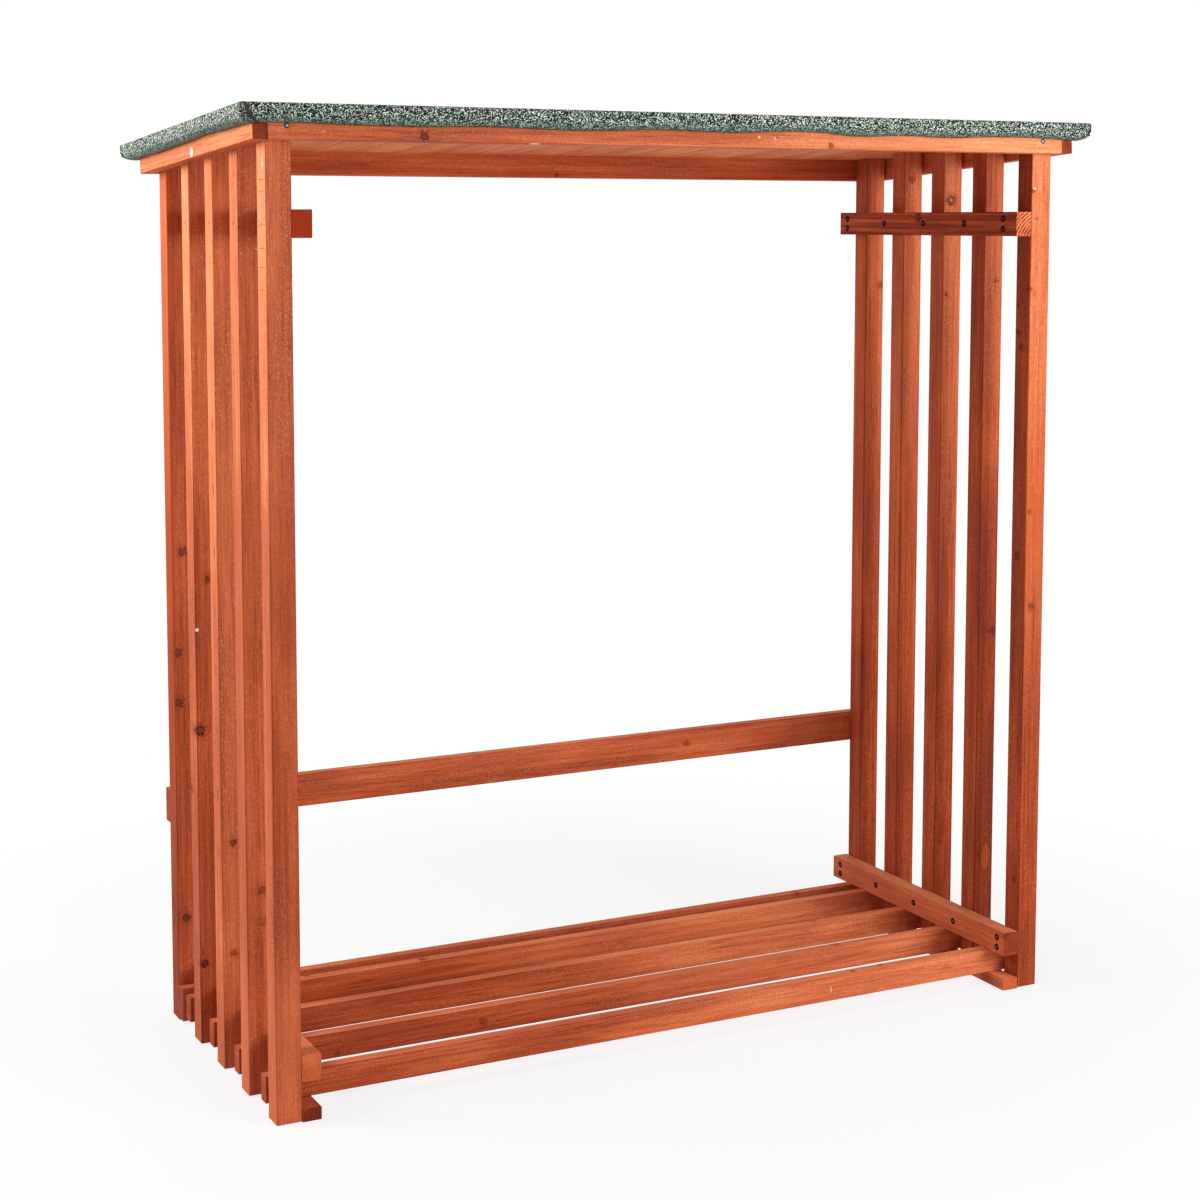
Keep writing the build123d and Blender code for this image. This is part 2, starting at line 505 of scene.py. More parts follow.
def drawn_knots(node, faces, count):
    """Knots at places drawn from the node's name, each on one of the faces, such as +X."""
    chance = random.Random(node + " knots")
    low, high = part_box(node)
    found = []
    for _ in range(count):
        place = [chance.uniform(low[i], high[i]) for i in range(3)]
        end, face = chance.choice(faces)
        axis = axes.index(face)
        place[axis] = (high if end == "+" else low)[axis]
        radius = chance.uniform(*drawn_knot_radii)
        found.append((tuple(place), face, radius, chance.uniform(*drawn_knot_strengths)))
    return found


# Knots that show in the photograph: place in metres, axis that their face looks along, radius and
# strength, which is how dark their ring is
seen_knots = {
    "left_upright_5": (
        ((-0.779, 0.258, 0.200), "Y", 0.006, 0.8),
        ((-0.787, 0.258, 0.617), "Y", 0.0065, 0.7),
        ((-0.787, 0.258, 0.713), "Y", 0.006, 0.6),
        ((-0.775, 0.258, 0.905), "Y", 0.006, 0.7),
    ),
    "left_upright_4": (
        ((-0.7858, 0.117, 0.154), "Y", 0.0052, 1.0),
        ((-0.7885, 0.117, 0.593), "Y", 0.0075, 1.0),
        ((-0.7685, 0.117, 0.8725), "Y", 0.0055, 0.7),
    ),
    "left_upright_3": (
        ((-0.773, -0.024, 0.417), "Y", 0.005, 0.8),
        ((-0.775, -0.024, 0.214), "Y", 0.0045, 0.6),
    ),
    "left_upright_2": (((-0.767, -0.165, 0.366), "Y", 0.0055, 0.6),),
    "right_upright_5": (((0.787, 0.258, 1.386), "Y", 0.005, 0.6),),
    "right_upright_4": (((0.769, 0.117, 1.614), "Y", 0.006, 0.5),),
    "right_upright_3": (
        ((0.768, -0.024, 1.568), "Y", 0.008, 0.7),
        ((0.7595, -0.024, 1.3755), "Y", 0.003, 0.8),
    ),
    "right_upright_2": (
        ((0.7795, -0.165, 1.4075), "Y", 0.0035, 0.6),
        ((0.7735, -0.165, 0.235), "Y", 0.009, 0.3),
    ),
    "right_upright_1": (
        ((0.7535, -0.313, 1.5825), "Y", 0.0025, 0.8),
        ((0.7525, -0.313, 1.393), "Y", 0.0030, 0.9),
        ((0.761, -0.313, 1.386), "Y", 0.0030, 0.5),
        ((0.7634, -0.313, 1.530), "Y", 0.0018, 0.6),
        ((0.7590, -0.313, 0.958), "Y", 0.0035, 0.7),
        ((0.7670, -0.313, 0.770), "Y", 0.0050, 0.6),
        ((0.750, -0.275, 1.3615), "X", 0.004, 0.5),
        ((0.750, -0.280, 1.308), "X", 0.004, 0.6),
        ((0.750, -0.288, 1.280), "X", 0.005, 0.8),
        ((0.750, -0.288, 0.868), "X", 0.005, 0.6),
        ((0.750, -0.298, 0.219), "X", 0.004, 0.5),
    ),
    "right_upper_side_rail": (((0.715, 0.014, 1.5324), "X", 0.006, 0.9),),
    "front_fascia": (
        ((-0.526, -0.337, 1.664), "Y", 0.0055, 0.8),
        ((0.274, -0.337, 1.662), "Y", 0.0035, 0.7),
    ),
}

# Cracks, chips, soft patches and other marks that show, broad washes where the stain is redder, a
# darker middle on two uprights, paler feet that are painted light bounced up from the floor, and a
# painted shadow line in a joint: place, half sizes, colour and strength
# Dark colour of cracks and screw marks, and of a painted shadow line in a joint
crack_and_shadow_colour = srgb(70, 26, 16)
deep_patch = srgb(196, 84, 40)
amber_patch = srgb(222, 112, 48)
pale_chip = srgb(246, 206, 160)
white_spot = srgb(244, 244, 240)
feed_line = srgb(176, 86, 46)
# Painted light: paler feet where light bounces up from the floor
painted_floor_bounce = srgb(222, 118, 80)
orange_wash = srgb(180, 72, 14)
darker_middle = srgb(150, 60, 32)
orange_end = srgb(155, 38, 0)
seen_marks = {
    "left_upright_1": [
        ((-0.795, -0.291, z), (0.004, 0.019, 0.0009), feed_line, 0.9)
        for z in (1.5913, 1.5722, 1.517, 1.4792, 1.448, 1.4111)
    ]
    + [
        # Darker in the middle, and a paler foot, which is painted light bounced up from the floor
        ((-0.7725, -0.313, 0.72), (0.09, 0.010, 0.38), darker_middle, 0.25),
        ((-0.7725, -0.291, 0.00), (0.09, 0.090, 0.34), painted_floor_bounce, 0.24),
        ((-0.795, -0.298, 1.6203), (0.003, 0.005, 0.012), pale_chip, 0.8),
        ((-0.795, -0.298, 1.622), (0.003, 0.0012, 0.004), crack_and_shadow_colour, 0.8),
    ],
    "left_upright_2": [
        ((-0.795, -0.1453, 0.0965), (0.002, 0.0024, 0.002), crack_and_shadow_colour, 0.9),
        ((-0.795, -0.1385, 0.6977), (0.002, 0.0026, 0.0024), crack_and_shadow_colour, 0.9),
        # Darker in the middle, and a paler foot, which is painted light bounced up from the floor
        ((-0.795, -0.143, 0.78), (0.005, 0.090, 0.48), darker_middle, 0.25),
        ((-0.795, -0.143, 0.00), (0.005, 0.090, 0.26), painted_floor_bounce, 0.30),
    ],
    "left_upright_3": [
        ((-0.795, -0.006, z), (0.003, 0.0022, 0.013), crack_and_shadow_colour, 0.9)
        for z in (1.167, 1.052, 0.940, 0.833, 0.727, 0.502)
    ]
    + [
        ((-0.795, -0.005, 0.620), (0.003, 0.0018, 0.014), crack_and_shadow_colour, 0.5),
        ((-0.795, -0.005, 0.398), (0.003, 0.0018, 0.012), crack_and_shadow_colour, 0.7),
        ((-0.795, -0.002, 0.980), (0.003, 0.0018, 0.040), deep_patch, 0.6),
    ],
    "left_upright_4": [
        ((-0.7915, 0.117, 0.780), (0.0035, 0.003, 0.0035), white_spot, 0.9),
        ((-0.795, 0.1366, 0.190), (0.003, 0.0012, 0.034), crack_and_shadow_colour, 0.8),
        ((-0.795, 0.1362, 0.099), (0.002, 0.0015, 0.0015), crack_and_shadow_colour, 0.9),
        ((-0.7895, 0.117, 0.176), (0.0010, 0.003, 0.012), crack_and_shadow_colour, 0.8),
    ],
    "left_upright_5": [((-0.795, 0.280, 1.10), (0.004, 0.090, 0.85), orange_wash, 0.45)],
    "left_upper_side_rail": [((-0.7325, -0.313, 1.5195), (0.09, 0.010, 0.09), orange_end, 0.6)],
    "right_upright_1": [
        ((0.7725, -0.313, 1.20), (0.09, 0.006, 0.45), orange_wash, 0.4),
        ((0.7690, -0.313, 1.5715), (0.017, 0.004, 0.012), amber_patch, 0.35),
        ((0.7610, -0.313, 1.5745), (0.009, 0.004, 0.007), amber_patch, 0.5),
        ((0.7570, -0.313, 1.5835), (0.0065, 0.003, 0.0011), crack_and_shadow_colour, 0.55),
        ((0.7575, -0.313, 1.5880), (0.0045, 0.003, 0.0030), pale_chip, 0.5),
        ((0.768, -0.313, 1.388), (0.017, 0.004, 0.007), amber_patch, 0.4),
    ],
    "right_upright_2": [((0.7768, -0.165, 0.2286), (0.012, 0.004, 0.03), deep_patch, 0.5)],
    "right_upright_3": [
        ((0.768, -0.024, 1.568), (0.0025, 0.003, 0.0022), pale_chip, 0.7),
        ((0.771, -0.024, 1.559), (0.011, 0.003, 0.0022), crack_and_shadow_colour, 0.4),
    ],
    "left_fascia": [
        ((-0.824, -0.0029, 1.6427), (0.003, 0.0085, 0.0095), white_spot, 1.0),
        ((-0.824, -0.0443, 1.6526), (0.003, 0.004, 0.004), deep_patch, 0.7),
    ],
    "front_fascia": [
        ((-0.560, -0.337, 1.669), (0.034, 0.003, 0.0035), crack_and_shadow_colour, 0.30),
        ((-0.535, -0.337, 1.664), (0.020, 0.003, 0.0030), crack_and_shadow_colour, 0.40),
        ((-0.4383, -0.337, 1.6596), (0.006, 0.003, 0.0014), crack_and_shadow_colour, 0.9),
        ((-0.7034, -0.337, 1.6688), (0.006, 0.003, 0.0016), pale_chip, 0.7),
        ((-0.690, -0.337, 1.664), (0.005, 0.003, 0.0014), pale_chip, 0.6),
        ((-0.3229, -0.337, 1.6551), (0.012, 0.004, 0.0014), white_spot, 0.9),
        ((0.1214, -0.337, 1.6745), (0.004, 0.003, 0.0034), pale_chip, 0.9),
        ((0.1600, -0.337, 1.6742), (0.006, 0.003, 0.0018), crack_and_shadow_colour, 0.9),
        ((0.1550, -0.337, 1.6725), (0.005, 0.003, 0.0040), pale_chip, 0.5),
        # Painted shadow of the gap in the joint at the front fascia's left end
        ((-0.799, -0.337, 1.6600), (0.0016, 0.01, 0.05), crack_and_shadow_colour, 0.95),
    ],
    "floor_rail_1": [((0.3428, -0.263, 0.0457), (0.0012, 0.003, 0.0075), pale_chip, 0.85)],
}
screw_tip_half_sizes = (0.0014, 0.0028, 0.0022)
screw_tip_strength = 0.85


def screw_tip(side, sign, node):
    """The mark of the upper rail's screw, whose tip just reaches the upright's outer face."""
    low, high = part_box(node)
    rail_low, rail_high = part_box(f"{side}_upper_side_rail")
    outer = low.x if sign < 0 else high.x
    place = (outer, (low.y + high.y) / 2, (rail_low.z + rail_high.z) / 2)
    return place, screw_tip_half_sizes, crack_and_shadow_colour, screw_tip_strength


def finish_solid(node, grain, *tones, faces, knots, more_marks=(), **looks):
    """Gives one solid of the frame its stained wood, with the knots and marks that show on it and
    a number of drawn knots. Tones are far, near and fade, as in stained_wood."""
    looks["knots"] = [*seen_knots.get(node, ()), *drawn_knots(node, faces, knots)]
    looks["marks"] = [*seen_marks.get(node, ()), *more_marks]
    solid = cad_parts[node]
    solid.data.materials.clear()
    solid.data.materials.append(stained_wood(node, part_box(node), grain, *tones, **looks))


# Tones by face, in the order left, right, front, back, up and down. They are painted light and shade
# as well as stain: the outer faces are paler above the middle, the front ones change least at the
# left, and the inner faces, which lie in shade, are the deepest.
# Each upright's front tones are those at its top and at its foot
outer_tops = (0.29, 0.37, 0.32, 0.27, 0.42)
outer_feet = (0.62, 0.57, 0.57, 0.64, 0.88)
inner_tops = (0.80, 0.75, 0.64, 0.58, 0.66)
inner_foot = 0.76
front_tones = {
    "left": ((0.54, 0.68), (0.58, 0.66), (0.50, 0.57), (0.58, 0.70), (0.68, 0.68)),
    "right": ((0.31, 0.77), (0.55, 0.90), (0.43, 0.78), (0.51, 0.74), (0.58, 0.80)),
}
back_top = 0.5
back_foot = 0.6
upright_end = 0.5
upright_fade = {"left": (0.35, 0.98), "right": (0.18, 1.0)}

for side, sign in sides:
    for index in range(uprights_per_side):
        node = f"{side}_upright_{index + 1}"
        front_top, front_foot = front_tones[side][index]
        outer = (outer_tops[index], outer_feet[index])
        inner = (inner_tops[index], inner_foot)
        left, right = (outer, inner) if side == "left" else (inner, outer)
        top = (left[0], right[0], front_top, back_top, upright_end)
        foot = (left[1], right[1], front_foot, back_foot, upright_end)
        tips = [screw_tip(side, sign, node)]
        looks = {"faces": ("+X", "+Y"), "knots": 2, "more_marks": tips}
        finish_solid(node, "Z", top, foot, upright_fade[side], **looks)

# The rails' tones, of which the front one is their sawn end, also paint light and shade by face. One
# rail has a bold figure
rail_tones = {
    "left_foot_runner": (0.7, 0.66, 0.84, 0.6, 0.55),
    "left_lower_side_rail": (0.7, 0.66, 0.48, 0.6, 0.46),
    "left_upper_side_rail": (0.7, 0.7, 0.74, 0.6, 0.50),
    "right_foot_runner": (0.60, 0.66, 0.58, 0.6, 0.44),
    "right_lower_side_rail": (0.56, 0.7, 0.86, 0.6, 0.35),
    "right_upper_side_rail": (0.76, 0.7, 0.58, 0.6, 0.60),
}
rail_ring = 0.0055
plain_figure = {"figure": 0.5}
bold_figures = {"right_upper_side_rail": {"figure": 2.1, "pith": (0.040, -0.036)}}
for node, tones in rail_tones.items():
    figure = bold_figures.get(node, plain_figure)
    finish_solid(node, "Y", tones, faces=("+X",), knots=1, ring=rail_ring, **figure)

# Fascias, whose sawn ends are deep, then floor rails and boards. Two rows of tones are far and near,
# and all their tones also paint light and shade by face
side_fascia_tones = {
    "left_fascia": (0.34, 0.66, 0.84, 0.6, 0.55),
    "right_fascia": (0.5, 0.5, 0.84, 0.6, 0.55),
}
front_fascia_tones = ((0.5, 0.5, 0.30, 0.5, 0.4), (0.5, 0.5, 0.56, 0.5, 0.55))
front_fascia_fade = (0.4, 0.85)
floor_rails = 4
floor_rail_tones = ((0.6, 0.6, 0.47, 0.5, 0.40), (0.7, 0.6, 0.71, 0.5, 0.50))
back_tones = (0.8, 0.6, 0.63, 0.4, 0.5)
for node, tones in side_fascia_tones.items():
    finish_solid(node, "Y", tones, faces=("+X",), knots=1, tilt=roof_tilt)
finish_solid("front_fascia", "X", *front_fascia_tones, front_fascia_fade, faces=("+Y",), knots=3)
for index in range(1, floor_rails + 1):
    finish_solid(f"floor_rail_{index}", "X", *floor_rail_tones, faces=("-Y", "+Y", "+Z"), knots=3)
for node in ("rear_floor_board", "back_brace_board", "back_fascia"):
    finish_solid(node, "X", back_tones, faces=("-Y", "+Y"), knots=4)


# The roof's own frame: its Y runs down the slope and its Z stands square on it
to_roof = Matrix.Rotation(roof_tilt, 4, "X")
from_roof = to_roof.inverted()


def roof_extent(node):
    """Lowest and highest corner of a solid of the frame, in the roof's own frame."""
    places = [to_roof @ vertex.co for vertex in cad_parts[node].data.vertices]
    low = Vector(min(place[i] for place in places) for i in range(3))
    high = Vector(max(place[i] for place in places) for i in range(3))
    return low, high


def new_piece(name, vertices, faces, materials, smooth=False):
    """A piece that rides on the frame's one body, from vertices and faces."""
    mesh = bpy.data.meshes.new(name)
    mesh.from_pydata([tuple(v) for v in vertices], [], faces)
    mesh.validate()
    for material in materials:
        mesh.materials.append(material)
    if smooth:
        mesh.shade_smooth()
    else:
        mesh.shade_flat()
    piece = bpy.data.objects.new(name, mesh)
    scene.collection.objects.link(piece)
    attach(piece, "root")
    return piece


# Felt colours: granules by share, of which most are dark, and a dark green painted on the hem as
# the shade where it turns under
felt_granules = (
    (0.00, srgb(16, 25, 20)),
    (0.56, srgb(66, 94, 80)),
    (0.72, srgb(150, 174, 154)),
    (0.80, srgb(230, 236, 222)),
    (0.90, srgb(255, 255, 250)),
)
granule_scale = 680.0
granule_fall = -1.2
granule_bump = 0.8
granule_height = 0.001
hem_shade_green = srgb(50, 96, 84)
hem_shade_share = 0.6
felt_roughness = 0.85
felt_specular = 0.2

# Plain colours have fine blotches, by which they darken and roughen
fine_scale = 900.0
fine_darkening = 0.35
fine_roughening = 0.15
darkening_by_blotch = (0.0, 1.0, 0.35, 0.65)
roughening_range = (0.3, 0.7)


def felt_material():
    """Mineral felt: pale, grey, green and black granules on bitumen, with painted shade that makes the
    hem darker and greener.
    """
    material, tree = new_material("mineral_felt")
    cells = tree.node("TexVoronoi", {"Vector": tree.place(), "Scale": granule_scale, "Randomness": 1.0})
    drawn = tree.node("SeparateColor", {0: cells.outputs["Color"]}).outputs[0]
    granules = tree.colours(drawn, felt_granules, "CONSTANT")
    hem = tree.node("Attribute", attribute_name="hem").outputs["Fac"]
    rise = tree.math("MULTIPLY_ADD", cells.outputs["Distance"], granule_fall, 1.0)
    relief = {"Strength": granule_bump, "Distance": granule_height, "Height": rise}
    # Painted shade: the hem, where the felt turns under, leans to dark green
    colour = tree.mix(tree.math("MULTIPLY", hem, hem_shade_share), granules, hem_shade_green)
    tree.principled(colour, felt_roughness, felt_specular, relief)
    return material


def plain_material(name, colour, roughness, metallic=0.0, specular=0.5):
    """One colour with fine blotches that also roughen it."""
    material, tree = new_material(name)
    blotch = tree.noise(tree.place(), fine_scale, 2.0)
    darker = tuple(value * (1 - fine_darkening) for value in colour)
    blotched = tree.mix(tree.ramp(blotch, *darkening_by_blotch), darker, colour)
    roughened = tree.ramp(blotch, roughness, roughness + fine_roughening, *roughening_range)
    tree.principled(blotched, roughened, specular, metallic=metallic)
    return material


bitumen = plain_material("bitumen", srgb(46, 34, 34), 0.7)
zinc = plain_material("zinc_plated_steel", srgb(112, 122, 136), 0.3, metallic=1.0)
# Stain over steel, darkened as painted shade of the screws' recesses and the nails' rims
steel_stain_and_shade = plain_material("stain_and_shade_on_steel", srgb(30, 11, 8), 0.8, specular=0.05)
dull_steel = plain_material("dull_steel", srgb(150, 146, 150), 0.35, metallic=1.0)

# Felt: a sheet over the deck, with a band down each side that is folded in to the fascias
felt_cell = 0.012
felt_body_share = 0.9
felt_fold_radius = 0.004
felt_fold_angles = (0.0, 0.4, 0.8, 1.2, math.pi / 2)
felt_drop = 0.020
felt_drop_shares = (0.4, 0.6, 0.8)
felt_drop_bulge = 0.6
felt_tuck = 0.011
felt_tuck_shares = (0.15, 0.3, 0.5, 0.75, 1.0)
felt_tuck_clearance = 0.0015
felt_tuck_flattening = 0.4
tuck_roll = 1.6

# Two rows turn from the drop to the tuck: how far in, how far below the drop, share of hem
felt_turn = ((0.0004, -0.0016, 0.1), (0.0018, 0.0003, 0.3))
hem_start = 0.1

# The hem waves, the bands are hollow and drawn in at the corners, and the top sags
hem_wave = 0.0034
hem_wave_length = 0.16
wave_gain = 1.9
wave_row = 0.37
band_seed_step = 3.1
hollow_depth = 0.0011
hollow_pace = 1.3
hollow_seed_step = 7
corner_pull = 0.0025
corner_pull_reach = 0.03
sag_depth = 0.0006
sag_edge = 0.05
sag_pace = 7
sag_row = 2.0

# The felt's lapped seams. Widths and leans are in cells of the felt
seam_lift = 0.0009
seam_sink = -0.5
seam_width = 0.6
seam_wobble = 0.35
seam_wobble_pace = 1.9
seam_lean = 1.2
seam_lean_rows = 9

felt_level = roof_extent("roof_felt")[1].z
deck_low, deck_high = roof_extent("roof_deck")
deck_middle = (deck_low + deck_high) / 2
deck_size = deck_high - deck_low
frame_low = roof_extent("left_fascia")[0]
frame_high = roof_extent("right_fascia")[1]


def wave(along, seed):
    """A smooth number from about -1 to 1 along a hem."""
    return wave_gain * noise.noise(Vector((along / hem_wave_length, seed, wave_row)))


def felt_rows(overhang):
    """A band in section, from its fold to its tuck: out, down, how much it bulges, share of hem."""
    rows = []
    for angle in felt_fold_angles:
        out = felt_thickness - felt_fold_radius + felt_fold_radius * math.sin(angle)
        rows.append((out, felt_fold_radius * (1 - math.cos(angle)), 0.0, 0.0))
    for share in felt_drop_shares:
        rows.append((felt_thickness, felt_drop * share, share * felt_drop_bulge, 0.0))
    for inward, below, hem in felt_turn:
        rows.append((felt_thickness - inward, felt_drop + below, 1.0, hem))
    turned = felt_turn[-1][2]
    for share in felt_tuck_shares:
        inward = share ** tuck_roll * (overhang - felt_tuck_clearance)
        down = felt_drop + felt_tuck * (1 - (1 - share) ** tuck_roll)
        bulge = 1.0 - felt_tuck_flattening * share
        rows.append((felt_thickness - inward, down, bulge, turned + (1 - turned) * share))
    return rows


def felt_band(width, overhang, seed, count):
    """Points of one band, row by row, as (along, out, down), how much each is hem, and the number
    of rows. Along runs from -width/2 to width/2."""
    rows = felt_rows(overhang)
    points, hems = [], []
    for out, down, bulge, hem in rows:
        half = width / 2 + out
        for index in range(count + 1):
            along = (index / count * 2 - 1) * half
            hollow = wave(along * hollow_pace, seed + hollow_seed_step)
            inward = -abs(hollow_depth * bulge * (1 + hollow))
            to_corner = max(0.0, half - abs(along)) / corner_pull_reach
            pull = corner_pull * bulge * math.exp(-to_corner * to_corner) * (1 - hem)
            dip = hem * hem_wave * wave(along, seed)
            points.append((along, out + inward - pull, down + dip))
            hems.append(max(0.0, hem - hem_start) / (1 - hem_start))
    return points, hems, len(rows)


def felt_seams(placed, starts, count):
    """Strips of bare bitumen where the front and back bands are cut and lapped, at one corner each."""
    vertices, faces = [], []
    for start, way, rows in starts:
        lift = from_roof.to_3x3() @ Vector((0, way, seam_sink)) * seam_lift
        base = len(vertices)
        for row in range(1, rows):
            lean = seam_lean * min(1.0, row / seam_lean_rows)
            width = seam_width * (1 + seam_wobble * math.sin(row * seam_wobble_pace + way))
            for cells in (lean, lean + width):
                before = start + row * (count + 1) + int(cells)
                vertices.append(placed[before].lerp(placed[before + 1], cells % 1) + lift)
        for row in range(rows - 2):
            first = base + row * 2
            faces.append((first, first + 1, first + 3, first + 2))
    seams = new_piece("felt_seams", vertices, faces, (bitumen,))
    thick = seams.modifiers.new("thickness", "SOLIDIFY")
    thick.thickness = seam_lift
    thick.offset = 0


def felt_top_vertices(across, down_slope):
    """The sheet over the deck, which sags a little away from its edges."""
    inset = felt_fold_radius - felt_thickness
    half_x, half_y = deck_size.x / 2 - inset, deck_size.y / 2 - inset
    vertices = []
    for row in range(down_slope + 1):
        for column in range(across + 1):
            x = (column / across * 2 - 1) * half_x
            y = (row / down_slope * 2 - 1) * half_y
            from_edge = max(0.0, min(half_x - abs(x), half_y - abs(y)))
            unevenness = 1 + noise.noise(Vector((x * sag_pace, y * sag_pace, sag_row)))
            low = sag_depth * unevenness * min(1.0, from_edge / sag_edge)
            vertices.append((deck_middle.x + x, deck_middle.y + y, felt_level - low))
    return vertices


def felt_sheet():
    """The whole felt as one mesh in the roof's frame, turned into place and given its thickness."""
    middle, size = deck_middle, deck_size
    across = round(size.x / felt_cell)
    down_slope = round(size.y / felt_cell)
    width = across + 1
    vertices = felt_top_vertices(across, down_slope)
    top_count = len(vertices)
    hems = [0.0] * top_count
    faces = []
    for row in range(down_slope):
        for column in range(across):
            first = row * width + column
            faces.append((first, first + 1, first + width + 1, first + width))

    # Bands at the front, back, right and left: length, overhang, ways along and out, cells
    bands = (
        (size.x, frame_low.y - deck_low.y, (1, 0), (0, -1), across),
        (size.x, deck_high.y - frame_high.y, (-1, 0), (0, 1), across),
        (size.y, deck_high.x - frame_high.x, (0, 1), (1, 0), down_slope),
        (size.y, frame_low.x - deck_low.x, (0, -1), (-1, 0), down_slope),
    )
    seam_starts = []
    for index, (length, overhang, along_axis, out_axis, count) in enumerate(bands):
        points, band_hems, rows = felt_band(length, overhang, index * band_seed_step, count)
        start = len(vertices)
        if out_axis[1]:
            seam_starts.append((start, out_axis[1], rows))
        for along, out, down in points:
            x = middle.x + along * along_axis[0] + (size.x / 2 + out) * out_axis[0]
            y = middle.y + along * along_axis[1] + (size.y / 2 + out) * out_axis[1]
            vertices.append((x, y, felt_level - down))
        hems += band_hems
        for row in range(rows - 1):
            for column in range(count):
                first = start + row * (count + 1) + column
                faces.append((first, first + count + 1, first + count + 2, first + 1))
    placed = [from_roof @ Vector(v) for v in vertices]
    felt_seams(placed, seam_starts, across)

    materials = (felt_material(), bitumen)
    felt = new_piece("felt_sheet", placed, faces, materials, smooth=True)
    attribute = felt.data.attributes.new("hem", "FLOAT", "POINT")
    attribute.data.foreach_set("value", hems)
    tool = bmesh.new()
    tool.from_mesh(felt.data)
    bmesh.ops.remove_doubles(tool, verts=tool.verts[:top_count], dist=1e-7)
    bmesh.ops.recalc_face_normals(tool, faces=tool.faces)
    tool.to_mesh(felt.data)
    tool.free()
    thick = felt.modifiers.new("thickness", "SOLIDIFY")
    thick.thickness = felt_thickness * felt_body_share
    thick.offset = -1
    thick.material_offset_rim = 1
    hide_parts("roof_felt")


felt_sheet()

# Roof deck: boards from front to back, planed on their lower face. One seam's place shows
deck_board_width = 0.0865
deck_board_gap = 0.0012
deck_board_least = 0.02
deck_seam_x = 0.538
deck_board_chamfer = 0.0012
deck_tones = (0.5, 0.5, 0.4, 0.4, 0.36)
deck_figure = 0.3
deck_knots = 6


def piece_from(tool, name, materials):
    """A piece with flat faces from a mesh under construction, which is freed."""
    piece = new_piece(name, [], [], materials)
    tool.to_mesh(piece.data)
    tool.free()
    return piece


def deck_seams():
    """Where the deck's boards begin and end along X."""
    step = math.ceil((deck_low.x + deck_board_least - deck_seam_x) / deck_board_width)
    seams = [deck_low.x]
    while deck_seam_x + step * deck_board_width < deck_high.x - deck_board_least:
        seams.append(deck_seam_x + step * deck_board_width)
        step += 1
    return [*seams, deck_high.x]


def deck_boards():
    """The deck as boards side by side, joined into one piece."""
    middle, size = deck_middle, deck_size
    seams = deck_seams()
    tool = bmesh.new()
    for left, right in zip(seams, seams[1:]):
        place = Matrix.Translation(((left + right) / 2, middle.y, middle.z))
        scale = Matrix.Diagonal((right - left - deck_board_gap, size.y, size.z, 1))
        made = bmesh.ops.create_cube(tool, size=1.0, matrix=place @ scale)
        edges = {edge for vertex in made["verts"] for edge in vertex.link_edges}
        lower = [
            edge
            for edge in edges
            if edge.calc_length() > size.y / 2 and edge.verts[0].co.z < middle.z
        ]
        shape = {"offset": deck_board_chamfer, "segments": 2, "profile": 0.5}
        bmesh.ops.bevel(tool, geom=lower, affect="EDGES", **shape)
    tool.transform(from_roof)
    looks = {
        "knots": drawn_knots("roof_deck", ("-Z",), deck_knots),
        "tilt": roof_tilt,
        "figure": deck_figure,
    }
    wood = stained_wood("deck_wood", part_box("roof_deck"), "Y", deck_tones, **looks)
    boards = piece_from(tool, "deck_boards", (wood,))
    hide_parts("roof_deck")


deck_boards()

# Heads of screws and nails, as rings of (share of the radius, level) from the rim inwards
head_segments = 20
head_rise = 0.0006
head_dish = head_rise * 0.75
head_rings = ((1.0, -0.0004), (1.0, head_rise * 0.5), (0.92, head_rise), (0.62, head_dish))

# The cross recess between its arms and along them, and the dome of a nail
cross_waist = 0.16
cross_arm = 0.38
cross_sharpness = 3
cross_depth = 0.35
dome_share = 0.6
dome_level = head_rise * 0.9


def screw_head(tool, place, outward, radius, turn, recess):
    """A countersunk head with a cross recess, its rim just proud of the face that it sits in.
    The rim has the piece's first material, and the recess or the dome's middle its second."""
    facing = Vector(outward).to_track_quat("Z", "X").to_matrix().to_4x4()
    placing = Matrix.Translation(place) @ facing @ Matrix.Rotation(turn, 4, "Z")
    angles = [2 * math.pi * index / head_segments for index in range(head_segments)]

    def ring(reaches, level):
        """Points round the head, each at its own reach from the middle."""
        points = (
            Vector((reach * math.cos(angle), reach * math.sin(angle), level))
            for reach, angle in zip(reaches, angles)
        )
        return [tool.verts.new(placing @ point) for point in points]

    loops = [ring([radius * share] * head_segments, level) for share, level in head_rings]
    if recess:
        arms = [abs(math.cos(2 * angle)) ** cross_sharpness for angle in angles]
        shares = [cross_waist + cross_arm * arm for arm in arms]
    else:
        shares = [dome_share] * head_segments
    loops.append(ring([radius * share for share in shares], head_dish))
    nexts = [*range(1, head_segments), 0]
    for outer, inner in zip(loops, loops[1:]):
        for index, after in enumerate(nexts):
            tool.faces.new((outer[index], outer[after], inner[after], inner[index]))
    pit_level = -radius * cross_depth if recess else dome_level
    pit = tool.verts.new(placing @ Vector((0, 0, pit_level)))
    for index, after in enumerate(nexts):
        face = tool.faces.new((loops[-1][index], loops[-1][after], pit))
        face.material_index = 1


def fixings(name, heads, materials, radius, recess=True):
    """One piece that joins many heads, each given as (place, outward direction)."""
    chance = random.Random(name)
    tool = bmesh.new()
    for place, outward in heads:
        screw_head(tool, place, outward, radius, chance.uniform(0, math.pi / 2), recess)
    bmesh.ops.recalc_face_normals(tool, faces=tool.faces)
    piece_from(tool, name, materials)


# Screws. Rises are shares of a rail's height, and the front pair of the upper rail sits further back
screw_radius = 0.0066
front_pair_step = 0.0205
pair_rises = (0.29, 0.72)
single_rise = 0.52
runner_screw_radius = 0.0042
runner_rise = 0.5


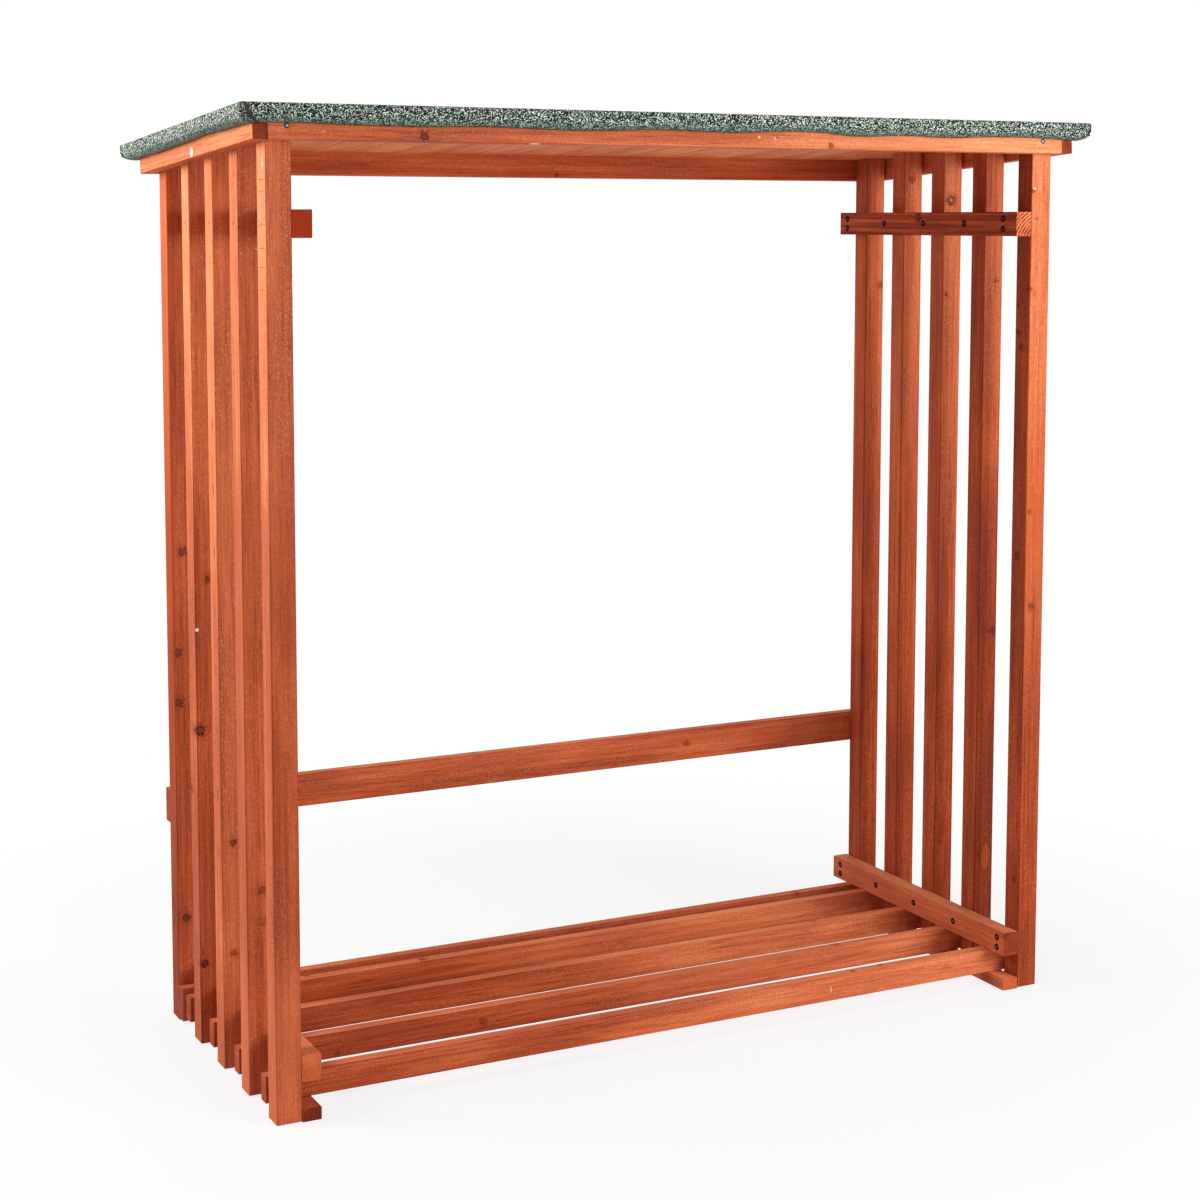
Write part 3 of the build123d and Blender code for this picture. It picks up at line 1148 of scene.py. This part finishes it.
def inner_heads(side, sign, kind, index, rises, step=0.0):
    """Heads on a rail's inner face, one above the other at one upright."""
    low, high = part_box(f"{side}_{kind}")
    inner = low.x if side == "right" else high.x
    upright_low, upright_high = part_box(f"{side}_upright_{index}")
    y = (upright_low.y + upright_high.y) / 2 + step
    return [((inner, y, low.z + rise * (high.z - low.z)), (-sign, 0, 0)) for rise in rises]


def rail_screws():
    """Screws on the rails' inner faces: a pair at the end uprights and one at each between."""
    for side, sign in sides:
        heads = []
        for kind in ("upper_side_rail", "lower_side_rail"):
            for index in range(1, uprights_per_side + 1):
                rises = pair_rises if index in (1, uprights_per_side) else (single_rise,)
                step = front_pair_step if index == 1 and kind == "upper_side_rail" else 0.0
                heads += inner_heads(side, sign, kind, index, rises, step)
        # The rims' dark colour is stain over steel and painted shade of the recess
        fixings(f"{side}_rail_screws", heads, (steel_stain_and_shade, dull_steel), screw_radius)


def runner_screws():
    """Bare zinc screws through the foot runners into the uprights, apart from the rear ones."""
    for side, sign in sides:
        heads = []
        for index in range(1, uprights_per_side):
            heads += inner_heads(side, sign, "foot_runner", index, (runner_rise,))
        fixings(f"{side}_runner_screws", heads, (zinc, dull_steel), runner_screw_radius)


rail_screws()
runner_screws()

# Felt nails
nail_radius = 0.0046
nail_places = (-0.7655, 0.7549)
nail_drop = 0.0215


def felt_nails():
    """Clout nails through the hem into the front and back fascias, near the corners."""
    heads = []
    for x in nail_places:
        for node, way in (("front_fascia", -1), ("back_fascia", 1)):
            low, high = roof_extent(node)
            y = low.y if way < 0 else high.y
            outward = from_roof.to_3x3() @ Vector((0, way, 0))
            heads.append((from_roof @ Vector((x, y, deck_low.z - nail_drop)), outward))
    fixings("felt_nails", heads, (steel_stain_and_shade, zinc), nail_radius, recess=False)


felt_nails()

# Floor, backdrop and lamps. The floor whitens for the camera with the distance from the object,
# and lamps are name, place, target, width and power
floor_size = 60
floor_colour = (0.84, 0.84, 0.84)
floor_whitening = (0.8, 1.0, 0.8, 1.9)
white = (1, 1, 1)
world_level = 0.45
lamps = (
    ("left_lamp", (-3.0, 0.5, 2.2), (-0.7, 0.0, 1.3), 1.4, 72),
    ("front_lamp", (1.8, -3.4, 1.7), (0.5, 0.0, 1.1), 1.6, 105),
)


def white_stage():
    """A wide pale floor that takes the shadow and turns white for the camera away from the object."""
    bpy.ops.mesh.primitive_plane_add(size=floor_size)
    floor = bpy.context.object
    floor.name = "floor"
    material, tree = new_material("pale_floor")
    paint = tree.node("BsdfDiffuse", {"Color": floor_colour}).outputs[0]
    glow = tree.node("Emission", {"Color": white, "Strength": 1.0}).outputs[0]
    away = tree.ramp(tree.vector("LENGTH", tree.place()), *floor_whitening)
    factor = tree.math("MULTIPLY", away, tree.seen())
    mixed = tree.node("MixShader", {0: factor, 1: paint, 2: glow})
    tree.node("OutputMaterial", {"Surface": mixed.outputs[0]})
    floor.data.materials.append(material)


def white_world(level):
    """Soft light from all round, with a white background for the camera and for reflections."""
    world = bpy.data.worlds.new("soft_white")
    world.use_nodes = True
    tree = Tree(world.node_tree)
    through = tree.node("LightPath").outputs["Is Transmission Ray"]
    seen = tree.math("MAXIMUM", tree.seen(), through)
    light = tree.node("Background", {"Color": white, "Strength": level}).outputs[0]
    backdrop = tree.node("Background", {"Color": white, "Strength": 1.0}).outputs[0]
    mixed = tree.node("MixShader", {0: seen, 1: light, 2: backdrop})
    tree.node("OutputWorld", {"Surface": mixed.outputs[0]})
    scene.world = world


white_stage()
white_world(world_level)
for lamp in lamps:
    area_lamp(*lamp)
look_from_camera_place()
